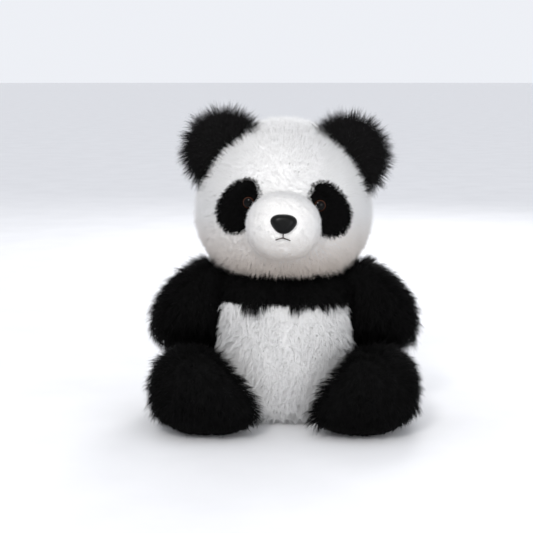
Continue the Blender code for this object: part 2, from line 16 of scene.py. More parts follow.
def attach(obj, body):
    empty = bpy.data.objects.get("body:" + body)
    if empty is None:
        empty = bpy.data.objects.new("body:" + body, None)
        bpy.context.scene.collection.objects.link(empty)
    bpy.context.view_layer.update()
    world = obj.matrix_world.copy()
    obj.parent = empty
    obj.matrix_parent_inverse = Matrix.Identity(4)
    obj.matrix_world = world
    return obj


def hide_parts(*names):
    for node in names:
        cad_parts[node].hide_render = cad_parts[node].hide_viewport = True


MM = 0.001
SIDES = ((1, "left"), (-1, "right"))

# The skins' driving rows, as in the CAD model, in millimetres
# Torso: height, half width, depth to the front, depth to the back
TORSO = (
    (0, 46, 44, 40), (2, 56, 55, 50), (8, 69, 68, 61), (20, 77, 77, 69), (45, 80, 83, 75),
    (75, 80, 83, 74), (105, 79, 79, 70), (130, 79, 72, 64), (149, 78, 64, 57), (159, 73, 55, 50),
    (164.5, 63, 46, 42), (166.5, 50, 36, 34),
)
TORSO_SIDE = 72 * MM         # the flat where an arm or leg joins
TORSO_POWER = 2.35           # 2 is an ellipse, more is squarer
YOKE_SEAM = 138 * MM

# Head: height, half width
HEAD = (
    (169, 26), (170.5, 42), (174, 56), (182, 70), (193, 81), (207, 89), (223, 93), (240, 93.5),
    (257, 91.5), (274, 86), (291, 77), (307, 64), (320, 48.5), (329, 32), (334.5, 14), (335.5, 2),
)
HEAD_FRONT = 0.94            # depths as shares of the half width
HEAD_BACK = 0.88
HEAD_POWER = 2.1
NECK_AS_DRAWN = Vector((0, 0, 168)) * MM     # the neck joint, as the head is drawn
NECK = Vector((-3.9, 0, 168)) * MM           # the same point on the torso
HEAD_TILT = radians(2.4)

# Muzzle: distance forward, half width, half height
MUZZLE_CENTRE = 229 * MM
MUZZLE_POWER = 2.15
MUZZLE = (
    (60, 33, 31), (74, 34.5, 33), (87, 36.5, 34.5), (98, 38.5, 34.5), (109, 34.5, 31), (118, 24.5, 22),
    (123, 12, 11), (124, 3, 3),
)

# Face
EYE_AT = (38.8 * MM, 252 * MM)
EYE_RADIUS = 7 * MM
PATCH_CENTRE = (48.5 * MM, 247.5 * MM)
PATCH_HALF = (31 * MM, 20.5 * MM)
PATCH_SLANT = radians(-64)
PATCH_EGG = 0.16             # how much wider its low end is
NOSE_AT = 235.8 * MM
NOSE_HALF = (14 * MM, 10.5 * MM)
NOSE_DEPTH = 8 * MM
MOUTH_DROP = 5 * MM
MOUTH_HALF = 8 * MM
THREAD = 0.62 * MM           # its radius, finer than in the CAD model

# Ears
EAR_ANGLE = radians(36)
EAR_OUT = 86 * MM
EAR_BACK = -17 * MM
EAR_RADIUS = 42 * MM
EAR_THICK = 10.5 * MM
HEAD_MIDDLE = 252 * MM

# Arm: height, inner and outer reach, half depth
ARM = (
    (84, 98, 121, 9), (86, 85, 134, 18), (91.5, 70, 144.5, 28), (104, 66, 148, 37), (120, 66, 145, 38.5),
    (136, 66, 138, 36), (150, 66, 127, 32), (162, 67, 113, 26.5), (171, 70, 99, 18), (174.5, 76, 88, 8),
)
ARM_MIDDLE = -6 * MM         # y of the arm's middle
ARM_POWER = 2.3
LIMB_FACE = 74 * MM          # the flat inner side of the arms and thighs

# Leg: y, inner and outer reach, underside and top
LEG = (
    (25, 98, 114, 35, 46), (23, 88, 124, 22, 54.5), (16.5, 76, 133, 8, 63), (6, 66, 140, 2, 71),
    (-15, 64, 141.5, 0.8, 75.5), (-40, 64, 142, 0.8, 77.5), (-62, 64, 142, 0.8, 82),
    (-80, 64, 142, 0.8, 86), (-90, 58, 142, 0.8, 88), (-100, 46, 142, 0.8, 89),
    (-111, 35, 140, 1.2, 88.5), (-123, 33, 135, 4, 85), (-133, 40, 126, 12, 77),
    (-139.5, 55, 110, 25, 62), (-142, 74, 92, 39, 49),
)
LEG_POWER = 2.4
THIGH_END = -84 * MM         # the foot begins here
FOOT_TURN = 1.5              # how fast the foot's inner side turns in past the thigh
FOOT_BLEND = 12 * MM
FOOT_LEAN = 0.6              # the foot's inner side slopes outwards going up
FOOT_WIDEST = 28 * MM        # the height that this slope leaves in place

TAIL_AT = Vector((0, 74, 30)) * MM
TAIL_HALF = Vector((19, 20, 18)) * MM

LOWEST = 0.4 * MM            # nothing of the coat goes below this
MOST_TRIANGLES = 190_000     # in one piece of fur

# The coat's tips stay inside this box, so the panda keeps its overall size
REACH = np.array([[-165, -157.5, 0], [165, 109, 366]]) * MM


# ---------------------------------------------------------------- numbers

def unit(vectors):
    return vectors / np.maximum(np.linalg.norm(vectors, axis=-1, keepdims=True), 1e-9)


def smooth_step(value, low, high):
    t = np.clip((value - low) / (high - low), 0, 1)
    return t * t * (3 - 2 * t)


def smooth_rows(rows, count):
    """`count` rows on the smooth run through the given ones, evenly spaced along it, in metres."""
    rows = np.array(rows, float) * MM
    steps = np.linalg.norm(np.diff(rows, axis=0), axis=1)
    along = np.concatenate([[0.0], np.cumsum(steps)])
    slopes = np.gradient(rows, along, axis=0)
    at = np.linspace(0.0, along[-1], count)
    first = np.clip(np.searchsorted(along, at, side="right") - 1, 0, len(rows) - 2)
    step = (along[first + 1] - along[first])[:, None]
    t = (at - along[first])[:, None] / step
    return (
        (1 + 2 * t) * (1 - t) ** 2 * rows[first]
        + t * (1 - t) ** 2 * step * slopes[first]
        + t * t * (3 - 2 * t) * rows[first + 1]
        + t * t * (t - 1) * step * slopes[first + 1]
    )


def oval(u_range, v_range, segments, power):
    angle = np.arange(segments) * 2 * pi / segments
    c, s = np.cos(angle), np.sin(angle)
    u = np.sign(c) * np.abs(c) ** (2 / power)
    v = np.sign(s) * np.abs(s) ** (2 / power)
    middle = (sum(u_range) / 2, sum(v_range) / 2)
    half = ((u_range[1] - u_range[0]) / 2, (v_range[1] - v_range[0]) / 2)
    return middle[0] + half[0] * u, middle[1] + half[1] * v


def waves(points, size, seed, count=7):
    """A smooth random field, mostly from -1 to 1, whose bumps are about `size` across."""
    rng = np.random.default_rng(seed)
    total = np.zeros(len(points))
    for _ in range(count):
        way = unit(rng.normal(size=3)) * 2 * pi / (size * rng.uniform(1.4, 2.6))
        total += np.sin(points @ way + rng.uniform(0, 2 * pi))
    return total / count ** 0.5 / 1.4


# ---------------------------------------------------------------- forms: points and faces

def lofted(rings, closed_start=True, closed_end=True):
    """Points and faces through rings of points; the closed ends are fans."""
    rings = np.array(rings)
    rows, count = rings.shape[:2]
    points = list(rings.reshape(-1, 3))
    faces = []
    for r in range(rows - 1):
        for i in range(count):
            j = (i + 1) % count
            low, high = r * count, (r + 1) * count
            faces.append((low + i, low + j, high + j, high + i))
    for closed, first in ((closed_start, 0), (closed_end, (rows - 1) * count)):
        if closed:
            points.append(np.mean(points[first:first + count], axis=0))
            pole = len(points) - 1
            for i in range(count):
                faces.append((first + i, first + (i + 1) % count, pole))
    return np.array(points), faces


def torso_form(low, high, rings=110, segments=150):
    """The torso from one height to another; open at a seam."""
    rows = smooth_rows(TORSO, rings)
    rows = rows[(rows[:, 0] >= low) & (rows[:, 0] <= high)]
    points = []
    for z, width, front, back in rows:
        x, y = oval((-width, width), (-front, back), segments, TORSO_POWER)
        points.append([(a, b, z) for a, b in zip(np.clip(x, -TORSO_SIDE, TORSO_SIDE), y)])
    return lofted(points, low <= 0, high >= 0.16)


def head_form(rings=120, segments=170):
    points = []
    for z, width in smooth_rows(HEAD, rings):
        x, y = oval((-width, width), (-width * HEAD_FRONT, width * HEAD_BACK), segments, HEAD_POWER)
        points.append([(a, b, z) for a, b in zip(x, y)])
    return lofted(points)


def arm_form(rings=80, segments=110):
    points = []
    for z, inner, outer, depth in smooth_rows(ARM, rings):
        x, y = oval((inner, outer), (ARM_MIDDLE - depth, ARM_MIDDLE + depth), segments, ARM_POWER)
        points.append([(a, b, z) for a, b in zip(np.maximum(x, LIMB_FACE), y)])
    return lofted(points)


def leg_form(rings=110, segments=120):
    points = []
    for y, inner, outer, low, top in smooth_rows(LEG, rings):
        x, z = oval((inner, outer), (low, top), segments, LEG_POWER)
        inward = np.clip((inner + outer - 2 * x) / (outer - inner), 0, 1)
        foot = np.clip((THIGH_END - y) / FOOT_BLEND, 0, 1)
        x = x + foot * FOOT_LEAN * inward * (z - FOOT_WIDEST)
        x = np.maximum(x, LIMB_FACE - max(THIGH_END - y, 0) * FOOT_TURN)
        points.append([(a, y, b) for a, b in zip(x, z)])
    return lofted(points)


def muzzle_form(rings=60, segments=90):
    points = []
    for forward, width, height in smooth_rows(MUZZLE, rings):
        up_and_down = (MUZZLE_CENTRE - height, MUZZLE_CENTRE + height)
        x, z = oval((-width, width), up_and_down, segments, MUZZLE_POWER)
        points.append([(a, -forward, b) for a, b in zip(x, z)])
    return lofted(points)


def ellipsoid_form(centre, half, segments, rings):
    """Poles along Y."""
    points = []
    for r in range(1, rings):
        tip = pi * r / rings
        ring = []
        for i in range(segments):
            turn = 2 * pi * i / segments
            out = sin(tip)
            ring.append((cos(turn) * out * half[0], -cos(tip) * half[1], sin(turn) * out * half[2]))
        points.append(ring)
    points, faces = lofted(points)
    return points + np.array(centre), faces


def head_width(z):
    rows = smooth_rows(HEAD, 200)
    return np.interp(z, rows[:, 0], rows[:, 1])


def head_front(x, z):
    """How far forward the untilted head's surface lies at (x, z), as a y value."""
    width = head_width(z)
    share = np.clip(1 - np.abs(x / width) ** HEAD_POWER, 0, 1) ** (1 / HEAD_POWER)
    return -width * HEAD_FRONT * share


def oval_share(points, width, depth, power):
    across, deep = np.abs(points[:, 0] / width), np.abs(points[:, 1] / depth)
    return (across ** power + deep ** power) ** (1 / power)


def head_share(points):
    """Below 1 inside the untilted head, over 1 outside; about 1 mm off the surface is 0.01."""
    width = head_width(points[:, 2])
    depth = np.where(points[:, 1] < 0, HEAD_FRONT, HEAD_BACK) * width
    share = oval_share(points, width, depth, HEAD_POWER)
    past_ends = (points[:, 2] < HEAD[0][0] * MM) | (points[:, 2] > HEAD[-1][0] * MM)
    return np.where(past_ends, 9.0, share)


def torso_share(points):
    """Below 1 inside the torso, over 1 outside."""
    rows = smooth_rows(TORSO, 200)
    width, front, back = (np.interp(points[:, 2], rows[:, 0], rows[:, i]) for i in (1, 2, 3))
    depth = np.where(points[:, 1] < 0, front, back)
    return oval_share(points, width, depth, TORSO_POWER)


def seated(points, share, sink=0.985):
    """Moves the points that lie deep inside another form out to just under its surface."""
    scale = np.where(share < sink, sink / np.maximum(share, 0.05), 1.0)
    moved = points.copy()
    moved[:, :2] *= scale[:, None]
    return moved


def tilted(points):
    turn = np.array(Matrix.Rotation(HEAD_TILT, 3, "Y"))
    return (np.asarray(points) - np.array(NECK_AS_DRAWN)) @ turn.T + np.array(NECK)


def untilted(points):
    turn = np.array(Matrix.Rotation(HEAD_TILT, 3, "Y"))
    return (np.asarray(points) - np.array(NECK)) @ turn + np.array(NECK_AS_DRAWN)


def mirrored(form):
    points, faces = form
    return points * np.array([-1, 1, 1]), faces


# ---------------------------------------------------------------- meshes

def new_object(name, points, faces, material):
    mesh = bpy.data.meshes.new(name)
    mesh.from_pydata([tuple(p) for p in points], [], [tuple(f) for f in faces])
    mesh.validate()
    made = bpy.data.objects.new(name, mesh)
    bpy.context.scene.collection.objects.link(made)
    mesh.materials.append(material)
    fix_normals(mesh)
    mesh.shade_smooth()
    return made


def fix_normals(mesh):
    form = bmesh.new()
    form.from_mesh(mesh)
    bmesh.ops.recalc_face_normals(form, faces=form.faces)
    form.to_mesh(mesh)
    form.free()


def shape_of(made):
    """Points, triangles and point normals of an object's mesh."""
    mesh = made.data
    mesh.calc_loop_triangles()
    points = np.empty(len(mesh.vertices) * 3)
    mesh.vertices.foreach_get("co", points)
    triangles = np.empty(len(mesh.loop_triangles) * 3, dtype=np.int32)
    mesh.loop_triangles.foreach_get("vertices", triangles)
    normals = np.empty(len(mesh.vertices) * 3)
    mesh.vertex_normals.foreach_get("vector", normals)
    return points.reshape(-1, 3), triangles.reshape(-1, 3), normals.reshape(-1, 3)


def lumpy(made, size, amount, seed):
    """Hand-stuffed unevenness: moves the points along their normals."""
    points, _, normals = shape_of(made)
    moved = points + normals * (waves(points, size, seed) * amount)[:, None]
    moved[:, 2] = np.where(points[:, 2] < 3 * MM, points[:, 2], moved[:, 2])
    made.data.vertices.foreach_set("co", moved.ravel())
    made.data.update()


def walled(made, thickness):
    wall = made.modifiers.new("wall", "SOLIDIFY")
    wall.thickness = thickness
    wall.offset = -1.0


# ---------------------------------------------------------------- materials

class Nodes:
    """One material, with short names for the nodes that the materials share."""

    def __init__(self, name):
        self.material = bpy.data.materials.new(name)
        self.material.use_nodes = True
        self.tree = self.material.node_tree
        self.shader = self.tree.nodes["Principled BSDF"]

    def set(self, **values):
        for socket, value in values.items():
            self.shader.inputs[socket.replace("_", " ")].default_value = value

    def link(self, output, socket):
        self.tree.links.new(output, self.shader.inputs[socket])

    def attribute(self, name):
        node = self.tree.nodes.new("ShaderNodeAttribute")
        node.attribute_name = name
        return node.outputs["Fac"]

    def coordinates(self):
        return self.tree.nodes.new("ShaderNodeTexCoord").outputs["Object"]

    def noise(self, scale, detail=3.0, vector=None, roughness=0.5):
        node = self.tree.nodes.new("ShaderNodeTexNoise")
        node.inputs["Scale"].default_value = scale
        node.inputs["Detail"].default_value = detail
        node.inputs["Roughness"].default_value = roughness
        self.tree.links.new(vector or self.coordinates(), node.inputs["Vector"])
        return node.outputs["Fac"]

    def ramp(self, factor, *stops):
        node = self.tree.nodes.new("ShaderNodeValToRGB")
        elements = node.color_ramp.elements
        elements[0].position, elements[1].position = stops[0][0], stops[-1][0]
        for place, _ in stops[1:-1]:
            elements.new(place)
        for element, (_, colour) in zip(elements, stops):
            element.color = (*colour, 1.0)
        self.tree.links.new(factor, node.inputs["Fac"])
        return node.outputs["Color"]

    def tinted(self, colour, other, kind="MULTIPLY", factor=1.0):
        node = self.tree.nodes.new("ShaderNodeMix")
        node.data_type = "RGBA"
        node.blend_type = kind
        node.inputs["Factor"].default_value = factor
        self.tree.links.new(colour, node.inputs["A"])
        self.tree.links.new(other, node.inputs["B"])
        return node.outputs["Result"]

    def bump(self, height, distance, strength=1.0):
        node = self.tree.nodes.new("ShaderNodeBump")
        node.inputs["Distance"].default_value = distance
        node.inputs["Strength"].default_value = strength
        self.tree.links.new(height, node.inputs["Height"])
        self.link(node.outputs["Normal"], "Normal")


def grey(value):
    return (value, value, value)


def fur_material(name, root, middle, tip, dark, light, roughness, sheen, specular, painted_shade=None):
    """Each strand runs from its root colour to its tip colour: darker roots are painted shade deep in the
    coat, lighter tips a painted highlight. Strands differ by their tone.

    The last argument is a warm painted shade for the coat low on the piece: (colour, its height, the
    height where it ends).
    """
    n = Nodes(name)
    # Root to tip: painted shade darkens the roots and a painted highlight lightens the tips.
    colour = n.ramp(n.attribute("along"), (0.0, root), (0.45, middle), (1.0, tip))
    tone = n.ramp(n.attribute("tone"), (0.0, dark), (1.0, light))
    colour = n.tinted(colour, tone)
    # Painted shade: the colour is multiplied by a warm, darker tint low on the piece, fading out going
    # up.
    if painted_shade:
        low, start, end = painted_shade
        split = n.tree.nodes.new("ShaderNodeSeparateXYZ")
        n.tree.links.new(n.coordinates(), split.inputs[0])
        colour = n.tinted(colour, n.ramp(split.outputs["Z"], (start, low), (end, grey(1.0))))
    n.link(colour, "Base Color")
    n.set(Roughness=roughness, Sheen_Weight=sheen, Sheen_Roughness=0.5, Specular_IOR_Level=specular)
    return n.material


def skin_material(name, dark, light, roughness=0.95, sheen=0.3):
    """The knitted backing between the strands."""
    n = Nodes(name)
    vector = n.coordinates()
    n.link(n.ramp(n.noise(900, 4, vector), (0.3, dark), (0.7, light)), "Base Color")
    n.bump(n.noise(1400, 2, vector), 0.3 * MM)
    n.set(Roughness=roughness, Sheen_Weight=sheen, Specular_IOR_Level=0.2)
    return n.material


def stuffing_material(name, dark, light):
    n = Nodes(name)
    vector = n.coordinates()
    n.link(n.ramp(n.noise(260, 6, vector, 0.7), (0.3, dark), (0.75, light)), "Base Color")
    n.bump(n.noise(520, 6, vector, 0.75), 1.2 * MM)
    n.set(Roughness=1.0, Sheen_Weight=0.4)
    return n.material


def woven_material(name, dark, light, threads=1100):
    """Plain-weave cotton, for the pellet bag."""
    n = Nodes(name)
    vector = n.coordinates()
    wave = n.tree.nodes.new("ShaderNodeTexWave")
    wave.inputs["Scale"].default_value = threads
    n.tree.links.new(vector, wave.inputs["Vector"])
    n.link(n.ramp(n.noise(700, 3, vector), (0.3, dark), (0.7, light)), "Base Color")
    n.bump(wave.outputs["Fac"], 0.2 * MM)
    n.set(Roughness=0.9)
    return n.material


def moulded_material(name, dark, light, roughness_low, roughness_high, specular=0.5):
    """Injection-moulded plastic with a faint grain."""
    n = Nodes(name)
    vector = n.coordinates()
    grain = n.noise(2200, 2, vector)
    n.link(n.ramp(n.noise(60, 3, vector), (0.35, dark), (0.7, light)), "Base Color")
    roughness = n.ramp(n.noise(400, 3, vector), (0.3, grey(roughness_low)), (0.7, grey(roughness_high)))
    n.link(roughness, "Roughness")
    n.bump(grain, 0.03 * MM)
    n.set(Specular_IOR_Level=specular)
    return n.material


def eye_material():
    """Black pupil, a thin brown iris towards the rim, and a black edge, under a clear dome."""
    n = Nodes("eye_dome")
    brown, amber, black = (0.014, 0.005, 0.003), (0.055, 0.019, 0.009), grey(0.0010)
    colour = n.ramp(
        n.attribute("ring"),
        (0.0, black), (0.66, black), (0.76, brown), (0.85, amber), (0.91, brown), (0.95, black),
        (1.0, black),
    )
    n.link(colour, "Base Color")
    n.link(n.ramp(n.noise(500, 2), (0.3, grey(0.05)), (0.8, grey(0.09))), "Roughness")
    n.set(Coat_Weight=0.12, Coat_Roughness=0.02, Specular_IOR_Level=0.05)
    return n.material


def thread_material():
    n = Nodes("mouth_thread_twist")
    dark, light = (0.022, 0.012, 0.008), (0.06, 0.035, 0.025)
    n.link(n.ramp(n.noise(2500, 3), (0.3, dark), (0.8, light)), "Base Color")
    n.bump(n.noise(3000, 2), 0.15 * MM)
    n.set(Roughness=0.6, Sheen_Weight=0.3)
    return n.material


# ---------------------------------------------------------------- fur

def sampled(shape, count, rng):
    """Random roots over the skin, with the outward direction at each."""
    points, triangles, normals = shape
    corners = points[triangles]
    area = np.linalg.norm(np.cross(corners[:, 1] - corners[:, 0], corners[:, 2] - corners[:, 0]), axis=1)
    picked = rng.choice(len(triangles), count, p=area / area.sum())
    a, b = rng.random((2, count))
    flip = a + b > 1
    a[flip], b[flip] = 1 - a[flip], 1 - b[flip]
    share = np.stack([1 - a - b, a, b], axis=1)[:, :, None]
    roots = (corners[picked] * share).sum(axis=1)
    return roots, unit((normals[triangles[picked]] * share).sum(axis=1))


def clumped(roots, per_clump, rng):
    """The clump each root belongs to: its number and its middle."""
    count = max(len(roots) // per_clump, 1)
    middles = roots[rng.choice(len(roots), count, replace=False)]
    tree = KDTree(count)
    for i, middle in enumerate(middles):
        tree.insert(middle, i)
    tree.balance()
    nearest = np.array([tree.find(root)[1] for root in roots])
    return nearest, middles[nearest]


def coat(
    name, shape, style, body, material, count, width,
    seed, steps=3, per_clump=14, pull=0.4, wave=0.0, sag=0.15, turn=0.35, uneven=0.3, soft=0.6,
):
    """Strands of fur over a skin, as closed tapered spikes, in pieces that ride on a body.

    style(roots, outward) gives each strand's length, the way it is combed and how far it leans over.
    pull gathers a clump's tips, wave ripples them, sag bends them down, turn and uneven vary the
    comb and the length, and soft turns their shading towards the skin's own.
    """
    rng = np.random.default_rng(seed)
    roots, outward = sampled(shape, count, rng)
    length, comb, lean = style(roots, outward)
    kept = length > 0.5 * MM
    roots, outward, length, comb, lean = roots[kept], outward[kept], length[kept], comb[kept], lean[kept]
    n = len(roots)
    number, middle = clumped(roots, per_clump, rng)
    clump_count = number.max() + 1
    comb = unit(comb - outward * (comb * outward).sum(axis=1, keepdims=True))
    side = np.cross(outward, comb)
    swing = rng.normal(0, turn, clump_count)[number] + rng.normal(0, turn * 0.4, n)
    comb = comb * np.cos(swing)[:, None] + side * np.sin(swing)[:, None]
    side = np.cross(outward, comb)
    length = length * np.clip(
        1 + rng.normal(0, uneven * 0.5, clump_count)[number] + rng.normal(0, uneven * 0.5, n), 0.35, 1.7
    )
    lean = np.clip(lean + rng.normal(0, 0.10, clump_count)[number] + rng.normal(0, 0.06, n), 0, 0.97)
    phase = rng.uniform(0, 2 * pi, clump_count)[number]
    path = [roots - outward * 0.3 * MM]
    ways = []
    down = np.array([0, 0, -1.0])
    for k in range(steps):
        t = (k + 0.5) / steps
        bend = np.clip(lean * (0.45 + 0.9 * t), 0, 0.98)[:, None]
        ripple = (wave * np.sin(phase + 2 * pi * 0.8 * t))[:, None]
        way = unit(outward * (1 - bend) + comb * bend + down * sag * t + side * ripple)
        ways.append(way)
        path.append(path[-1] + way * (length / steps)[:, None])
    gather = (middle - roots) * pull
    gather -= outward * (gather * outward).sum(axis=1, keepdims=True)
    path = within_reach([p + gather * (k / steps) ** 1.3 for k, p in enumerate(path)])
    spikes(name, path, ways, outward, width * rng.uniform(0.7, 1.25, n), body, material, rng, soft)


def within_reach(path):
    """Shortens the strands whose tips would pass out of the box, other than through its floor."""
    root, tip = path[0], path[-1]
    run = np.where(np.abs(tip - root) < 1e-6, 1e-6, tip - root)
    share = np.where(tip > REACH[1], (REACH[1] - root) / run, 1.0)
    share = np.where(tip < REACH[0], (REACH[0] - root) / run, share)
    share[:, 2] = np.where(tip[:, 2] < REACH[0, 2], 1.0, share[:, 2])
    share = np.clip(share.min(axis=1), 0.2, 1.0)[:, None]
    return [root + (p - root) * share for p in path]


def spikes(name, path, ways, outward, width, body, material, rng, soft):
    """Meshes of three-sided spikes along the paths."""
    steps, n = len(ways), len(outward)
    any_way = unit(rng.normal(size=(n, 3)))
    points = np.empty((n, 3 * steps + 1, 3))
    normals = np.empty_like(points)
    along = np.empty((n, 3 * steps + 1))
    for k in range(steps):
        across = unit(np.cross(ways[k], any_way))
        other = np.cross(ways[k], across)
        radius = (width / 2 * (1 - k / steps) ** 0.45)[:, None]
        for j in range(3):
            out = across * cos(2 * pi * j / 3) + other * sin(2 * pi * j / 3)
            points[:, 3 * k + j] = path[k] + out * radius
            normals[:, 3 * k + j] = unit(out * (1 - soft) + outward * soft)
            along[:, 3 * k + j] = k / steps
    points[:, -1] = path[-1]
    normals[:, -1] = unit(ways[-1] * (1 - soft) + outward * soft)
    along[:, -1] = 1.0
    points[:, :, 2] = np.maximum(points[:, :, 2], LOWEST)
    faces = [(0, 2, 1)]
    for k in range(steps - 1):
        for j in range(3):
            a, b = 3 * k + j, 3 * k + (j + 1) % 3
            faces += [(a, b, b + 3), (a, b + 3, a + 3)]
    last = 3 * (steps - 1)
    faces += [(last + j, last + (j + 1) % 3, 3 * steps) for j in range(3)]
    faces = np.array(faces)
    tone = rng.random(n)
    from_middle = path[0] - path[0].mean(axis=0)
    order = np.argsort(np.arctan2(from_middle[:, 0], -from_middle[:, 1]))
    chunks = -(-n * len(faces) // MOST_TRIANGLES)
    for i, chosen in enumerate(np.array_split(order, chunks)):
        label = name if chunks == 1 else f"{name}_{i + 1}"
        made = strand_mesh(label, points[chosen], normals[chosen], along[chosen], tone[chosen], faces)
        made.data.materials.append(material)
        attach(made, body)


def strand_mesh(name, points, normals, along, tone, faces):
    n, per = points.shape[:2]
    corners = (faces[None] + (np.arange(n) * per)[:, None, None]).reshape(-1)
    mesh = bpy.data.meshes.new(name)
    mesh.vertices.add(n * per)
    mesh.vertices.foreach_set("co", points.ravel())
    mesh.loops.add(len(corners))
    mesh.loops.foreach_set("vertex_index", corners)
    mesh.polygons.add(len(corners) // 3)
    mesh.polygons.foreach_set("loop_start", np.arange(0, len(corners), 3))
    for label, values in (("along", along.ravel()), ("tone", np.repeat(tone, per))):
        mesh.attributes.new(label, "FLOAT", "POINT").data.foreach_set("value", values)
    cells = int(np.ceil(n ** 0.5))
    cell = np.stack([np.arange(n) % cells, np.arange(n) // cells], axis=1)[:, None, :]
    around = np.full(per, 0.5)
    around[:-1] = 0.15 + 0.35 * (np.arange(per - 1) % 3)
    inside = np.stack([np.tile(around, (n, 1)), 0.12 + 0.76 * along], axis=2)
    flat = ((cell + inside) / cells).reshape(-1, 2)
    uv = mesh.uv_layers.new(name="OFBake")
    uv.uv.foreach_set("vector", flat[corners].ravel())
    mesh.update()
    mesh.validate()
    facing = mesh.attributes.new("custom_normal", "FLOAT_VECTOR", "POINT")
    facing.data.foreach_set("vector", normals.ravel())
    mesh.shade_smooth()
    made = bpy.data.objects.new(name, mesh)
    bpy.context.scene.collection.objects.link(made)
    return made


# ---------------------------------------------------------------- styles: how the coat lies

DOWN = np.array([0, 0, -1.0])


def in_patch(points, grow):
    """How far each untilted point lies inside an eye patch's outline: below 1 is inside."""
    best = np.full(len(points), 9.0)
    for side, _ in SIDES:
        x = side * points[:, 0] - PATCH_CENTRE[0]
        z = points[:, 2] - PATCH_CENTRE[1]
        along = x * cos(PATCH_SLANT) + z * sin(PATCH_SLANT)
        across = -x * sin(PATCH_SLANT) + z * cos(PATCH_SLANT)
        u = along / (PATCH_HALF[0] + grow)
        v = across / ((PATCH_HALF[1] + grow) * (1 + PATCH_EGG * np.clip(u, -1, 1)))
        best = np.minimum(best, np.where(points[:, 1] < 0, np.hypot(u, v), 9.0))
    return best


def muzzle_share(points):
    """Below 1 inside the muzzle's tube."""
    rows = smooth_rows(MUZZLE, 100)
    width = np.interp(-points[:, 1], rows[:, 0], rows[:, 1])
    height = np.interp(-points[:, 1], rows[:, 0], rows[:, 2])
    share = np.hypot(points[:, 0] / width, (points[:, 2] - MUZZLE_CENTRE) / height)
    return np.where(-points[:, 1] < rows[0, 0], 9.0, share)


def head_style(roots, outward):
    """Shorter on the face, longest under the chin; none beneath the patches, muzzle or neck."""
    p = untilted(roots)
    comb = unit(p - np.array([0, -0.12, MUZZLE_CENTRE])) + DOWN * 0.35
    face = smooth_step(-p[:, 1], 0.02, 0.075)
    chin = smooth_step(-p[:, 2], -0.200, -0.176)
    near_patch = 1 - smooth_step(in_patch(p, 0), 1.0, 1.35)
    length = (10.5 * (1 - 0.28 * face) + 5.0 * chin) * MM * (1 - 0.3 * near_patch)
    lean = 0.24 + 0.25 * chin + 0.08 * face
    under = (np.hypot(p[:, 0], p[:, 1]) < 0.052) & (p[:, 2] < 0.2)
    gone = (in_patch(p, -1.0 * MM) < 1) | (muzzle_share(p) < 1.0) | under
    return np.where(gone, 0, length), comb, lean


def muzzle_style(roots, outward):
    """Velour combed away from the nose, none beneath it."""
    p = untilted(roots)
    comb = unit(p - np.array([0, -0.13, NOSE_AT])) + DOWN * 0.3
    edge = smooth_step(p[:, 1], -0.108, -0.090)
    length = (2.9 + 1.4 * edge) * MM
    nose = np.hypot(p[:, 0] / NOSE_HALF[0], (p[:, 2] - NOSE_AT) / NOSE_HALF[1])
    front = p[:, 1] < -0.108
    length = np.where(front, length * (0.45 + 0.55 * smooth_step(nose, 0.9, 1.8)), length)
    gone = (head_share(p) < 0.96) | ((nose < 0.90) & front)
    return np.where(gone, 0, length), comb, 0.36 - 0.08 * edge


def patch_style(roots, outward):
    """Short pile that parts round the eye."""
    p = untilted(roots)
    side = np.sign(p[:, 0])
    still = p[:, 0] * 0
    middle = np.stack([side * PATCH_CENTRE[0], still - 0.07, still + PATCH_CENTRE[1] + 0.01], axis=1)
    eye = np.hypot(np.abs(p[:, 0]) - EYE_AT[0], p[:, 2] - EYE_AT[1])
    comb = unit(p - middle) + DOWN * 0.5
    length = 6.0 * MM * (0.5 + 0.5 * smooth_step(eye, EYE_RADIUS, EYE_RADIUS * 2.2))
    gone = (eye < EYE_RADIUS * 0.95) | (muzzle_share(p) < 0.97)
    return np.where(gone, 0, length), comb, np.full(len(p), 0.36)


def ear_style(roots, outward):
    """Flat in the middle, standing out at the rim."""
    p = untilted(roots)
    side = np.sign(p[:, 0])
    still = p[:, 0] * 0
    middle = np.stack([
        side * EAR_OUT * cos(EAR_ANGLE), still + EAR_BACK, still + HEAD_MIDDLE + EAR_OUT * sin(EAR_ANGLE),
    ], axis=1)
    away = p - middle
    edge = smooth_step(np.hypot(away[:, 0], away[:, 2]) / EAR_RADIUS, 0.55, 0.95)
    comb = unit(away * np.array([1, 0.2, 1])) + DOWN * 0.2
    length = (8.0 + 3.4 * edge) * MM
    return np.where(head_share(p) < 1.0, 0, length), comb, 0.62 - 0.30 * edge


def belly_style(roots, outward):
    """Long in front, short against the arms and thighs, a trace round the base, none beneath it."""
    x, y, z = roots.T
    flow = waves(roots, 0.034, 31) + 0.6 * waves(roots, 0.016, 32)
    comb = DOWN + np.stack([flow * 0.75 - x * 6.0, flow * 0, flow * 0], axis=1)
    front = smooth_step(-y, 0.0, 0.05)
    seam = smooth_step(z, YOKE_SEAM - 14 * MM, YOKE_SEAM)
    length = (11.0 + 3.0 * front) * MM * (1 - 0.45 * seam)
    sideways = smooth_step(np.abs(outward[:, 0]), 0.75, 0.97)
    by_arm = smooth_step(z, 0.090, 0.100) * (1 - smooth_step(np.abs(y - ARM_MIDDLE), 0.034, 0.044))
    by_leg = (1 - smooth_step(z, 0.070, 0.080)) * (1 - smooth_step(y, 0.015, 0.03))
    length *= 1 - 0.72 * sideways * np.maximum(by_arm, by_leg)
    length = np.where(outward[:, 2] < -0.75, 1.6 * MM, length)
    return np.where(z < 0.5 * MM, 0, length), comb, 0.56 + 0.1 * seam


